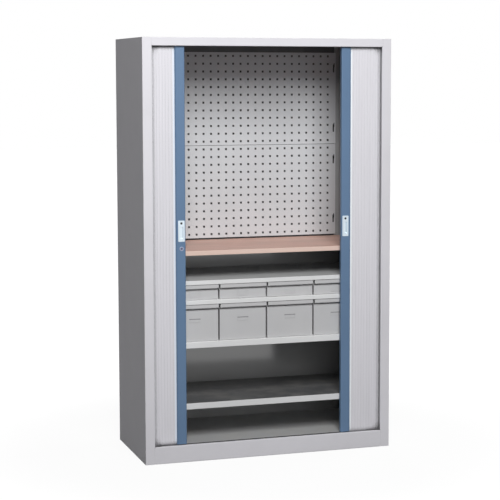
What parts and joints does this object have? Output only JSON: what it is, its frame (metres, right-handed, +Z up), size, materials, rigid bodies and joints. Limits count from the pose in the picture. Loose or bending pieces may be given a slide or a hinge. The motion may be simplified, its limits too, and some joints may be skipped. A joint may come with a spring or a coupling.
{
  "type": "tambour cabinet",
  "caption": "Tall steel workshop cabinet with sliding tambour doors, perforated tool panels over a wooden worktop, a rack of pull-out steel bins and an open shelf.",
  "frame": {"origin": "centre of the footprint on the floor", "axes": "+X to the right as seen from the front, +Y to the back, +Z up"},
  "size_m": [1.2, 0.55, 1.95],
  "materials": {
    "casing_grey": "fine textured powder coat, light grey",
    "shelf_grey": "fine textured powder coat, light grey",
    "panel_grey": "smooth powder coat, light grey",
    "bin_grey": "fine textured powder coat, mid grey",
    "curtain_grey": "satin extruded plastic, light grey",
    "post_blue": "satin powder coat, grey blue",
    "beech": "oiled beech, glued up in strips",
    "track_metal": "mill finish extrusion",
    "pull_metal": "satin plated",
    "zinc": "zinc plated",
    "black_steel": "black, dull",
    "black_plastic": "black moulded nylon",
    "buffer_rubber": "dull black rubber"
  },
  "bodies": {
    "cabinet": {"side_panel_left": "casing_grey", "side_panel_right": "casing_grey", "roof_panel": "casing_grey", "back_panel": "casing_grey", "base_tray": "casing_grey", "plinth_rail": "casing_grey", "floor_panel": "casing_grey", "pocket_lining_left": "casing_grey", "pocket_lining_right": "casing_grey", "track_top_left": "track_metal", "track_top_right": "track_metal", "track_bottom_left": "track_metal", "track_bottom_right": "track_metal", "track_buffers": "buffer_rubber", "perforated_panel_upper": "panel_grey", "perforated_panel_lower": "panel_grey", "panel_hooks": "black_steel", "worktop": "beech", "worktop_bearers": "shelf_grey", "lower_shelf": "shelf_grey", "bin_shelf": "shelf_grey", "rack_middle": "shelf_grey", "rack_top": "shelf_grey", "rack_cheeks": "shelf_grey", "shelf_clips": "zinc", "bin_upper_1": "bin_grey", "bin_upper_4": "bin_grey", "bin_lower_1": "bin_grey", "bin_lower_4": "bin_grey", "labels_outer_bins": "bin_grey", "side_slats_left": "curtain_grey", "side_slats_right": "curtain_grey"},
    "left_door": {"lead_post_left": "post_blue", "post_glides_left": "black_plastic", "front_slats_left": "curtain_grey", "pull_left": "pull_metal", "pull_screw_left": "black_steel", "lock_barrel": "pull_metal"},
    "left_tail": {"tail_slat_left": "curtain_grey"},
    "right_door": {"lead_post_right": "post_blue", "post_glides_right": "black_plastic", "front_slats_right": "curtain_grey", "pull_right": "pull_metal", "pull_screw_right": "black_steel", "strike_plate": "zinc"},
    "right_tail": {"tail_slat_right": "curtain_grey"},
    "lock": {"lock_core": "black_steel", "lock_bolt": "zinc"},
    "upper_bin_2": {"bin_upper_2": "bin_grey", "label_upper_2": "bin_grey"},
    "upper_bin_3": {"bin_upper_3": "bin_grey", "label_upper_3": "bin_grey"},
    "lower_bin_2": {"bin_lower_2": "bin_grey", "label_lower_2": "bin_grey"},
    "lower_bin_3": {"bin_lower_3": "bin_grey", "label_lower_3": "bin_grey"}
  },
  "joints": [
    {"name": "left_door_slide", "type": "slide", "parent": "cabinet", "child": "left_door", "axis": [-1, 0, 0], "range_m": [-0.4, 0], "deforming": ["side_slats_left"]},
    {"name": "left_tail_slide", "type": "slide", "parent": "cabinet", "child": "left_tail", "axis": [0, 1, 0], "range_m": [-0.4, 0], "deforming": ["side_slats_left"]},
    {"name": "right_door_slide", "type": "slide", "parent": "cabinet", "child": "right_door", "axis": [1, 0, 0], "range_m": [-0.358, 0.042], "deforming": ["side_slats_right"]},
    {"name": "right_tail_slide", "type": "slide", "parent": "cabinet", "child": "right_tail", "axis": [0, 1, 0], "range_m": [-0.358, 0.042], "deforming": ["side_slats_right"]},
    {"name": "upper_bin_2_slide", "type": "slide", "parent": "cabinet", "child": "upper_bin_2", "axis": [0, -1, 0], "range_m": [0, 0.3]},
    {"name": "upper_bin_3_slide", "type": "slide", "parent": "cabinet", "child": "upper_bin_3", "axis": [0, -1, 0], "range_m": [0, 0.3]},
    {"name": "lower_bin_2_slide", "type": "slide", "parent": "cabinet", "child": "lower_bin_2", "axis": [0, -1, 0], "range_m": [0, 0.3]},
    {"name": "lower_bin_3_slide", "type": "slide", "parent": "cabinet", "child": "lower_bin_3", "axis": [0, -1, 0], "range_m": [0, 0.3]},
    {"name": "lock_turn", "type": "hinge", "parent": "left_door", "child": "lock", "pos_m": [-0.42, -0.258, 0.991], "axis": [0, -1, 0], "range_deg": [0, 90]}
  ],
  "couplings": [
    {"joint": "left_tail_slide", "follows": "left_door_slide", "ratio": 1},
    {"joint": "right_tail_slide", "follows": "right_door_slide", "ratio": 1}
  ]
}
